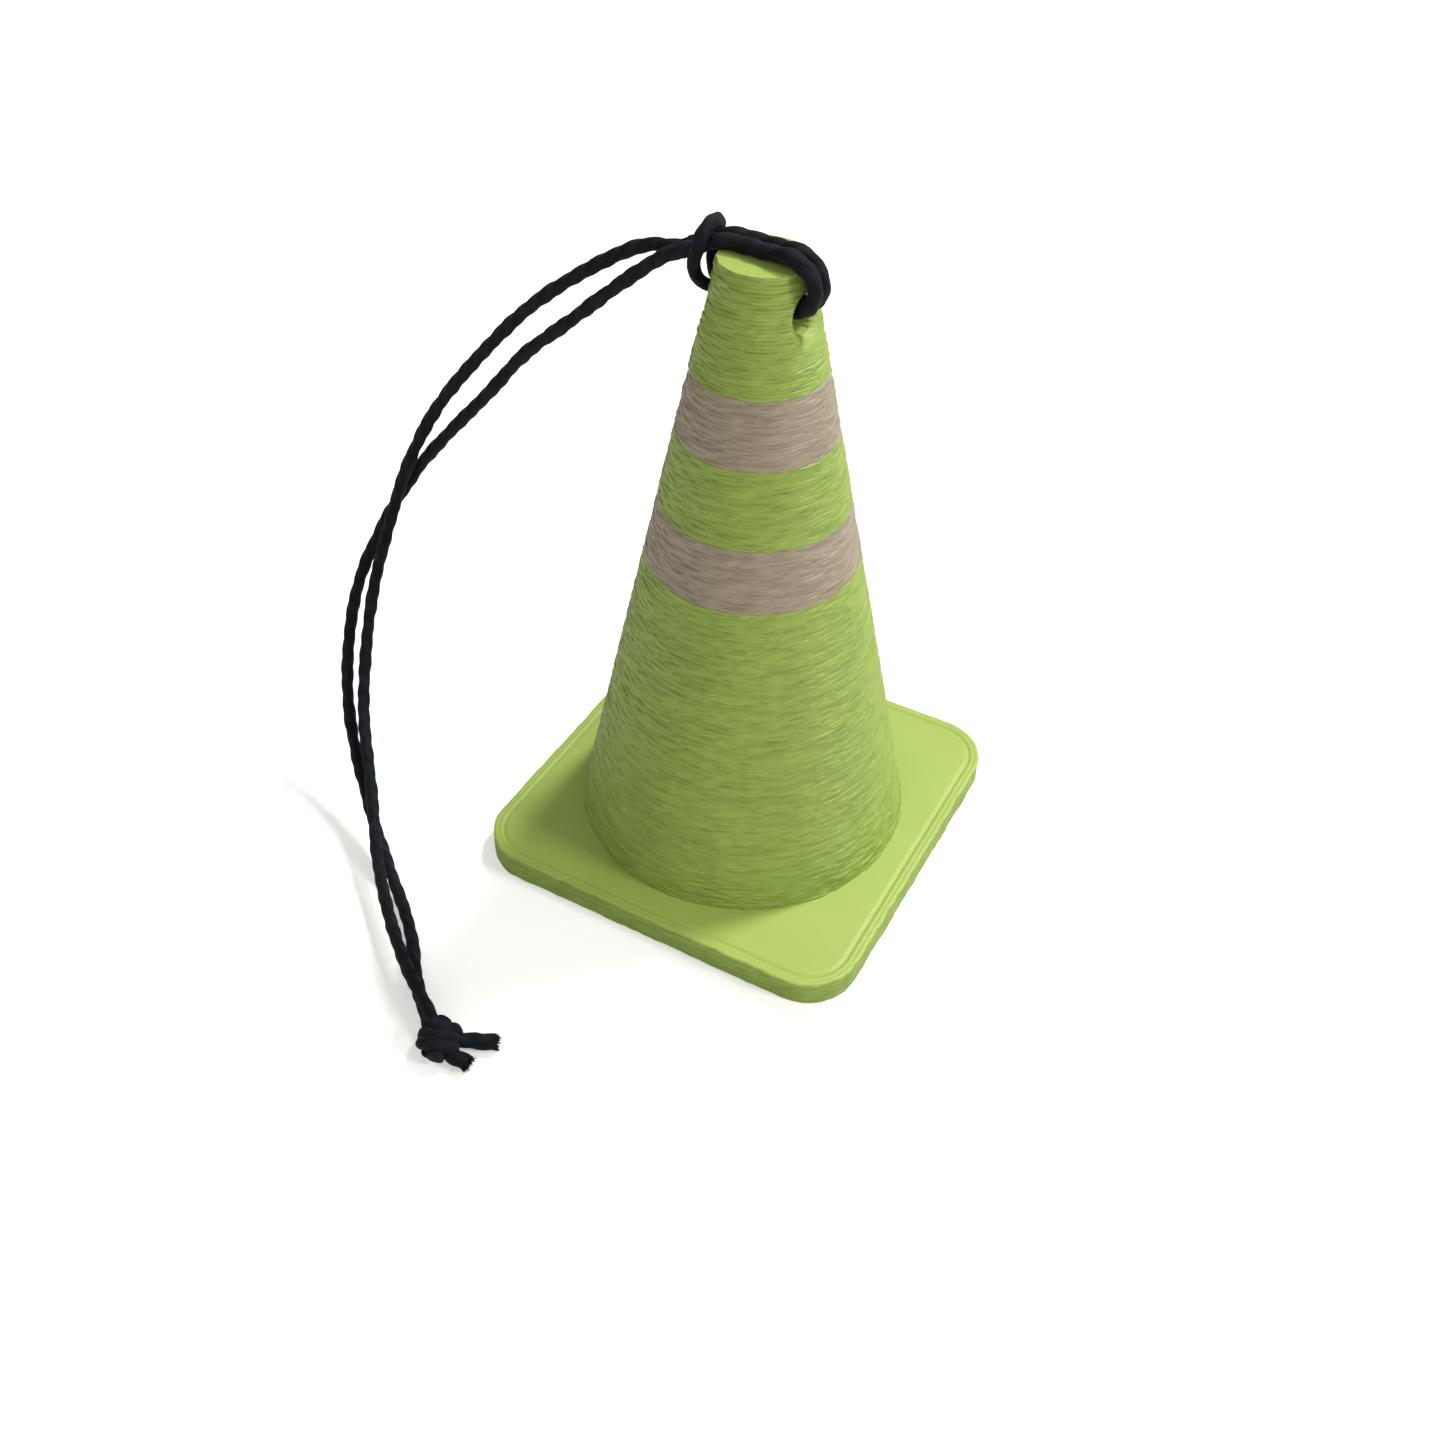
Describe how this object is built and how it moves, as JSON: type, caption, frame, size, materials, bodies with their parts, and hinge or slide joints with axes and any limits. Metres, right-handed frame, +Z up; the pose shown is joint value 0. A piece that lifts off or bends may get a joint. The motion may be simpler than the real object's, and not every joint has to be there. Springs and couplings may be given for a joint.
{
  "type": "miniature traffic cone",
  "caption": "Small printed traffic cone charm with flush bands, a square foot and a knotted carrying cord hitched through its tip.",
  "frame": {"origin": "centre of the foot plate's underside", "axes": "+Z up along the cone's axis; the cord's tunnel runs along X, and the loop leaves towards -X"},
  "size_m": [0.0582, 0.0594, 0.0606],
  "materials": {
    "lime_pla": "printed, rough side walls, smooth top face",
    "grey_pla": "printed, rough side walls",
    "waxed_cord": "waxed twisted cotton"
  },
  "bodies": {
    "root": {"base_plate": "lime_pla", "lower_section": "lime_pla", "middle_section": "lime_pla", "tip_section": "lime_pla", "lower_infill": "lime_pla", "middle_infill": "lime_pla", "lower_band": "grey_pla", "upper_band": "grey_pla", "lower_band_infill": "grey_pla", "upper_band_infill": "grey_pla", "hitch_strand_a": "waxed_cord", "hitch_strand_b": "waxed_cord", "hitch_bight": "waxed_cord"},
    "loop": {"strand_a": "waxed_cord", "strand_b": "waxed_cord", "end_knot": "waxed_cord", "tail_a": "waxed_cord", "tail_b": "waxed_cord"}
  },
  "joints": [
    {"name": "loop_lift", "type": "hinge", "parent": "root", "child": "loop", "pos_m": [-0.00646, 0, 0.05832], "axis": [0, 1, 0], "range_deg": [0, 115]}
  ]
}
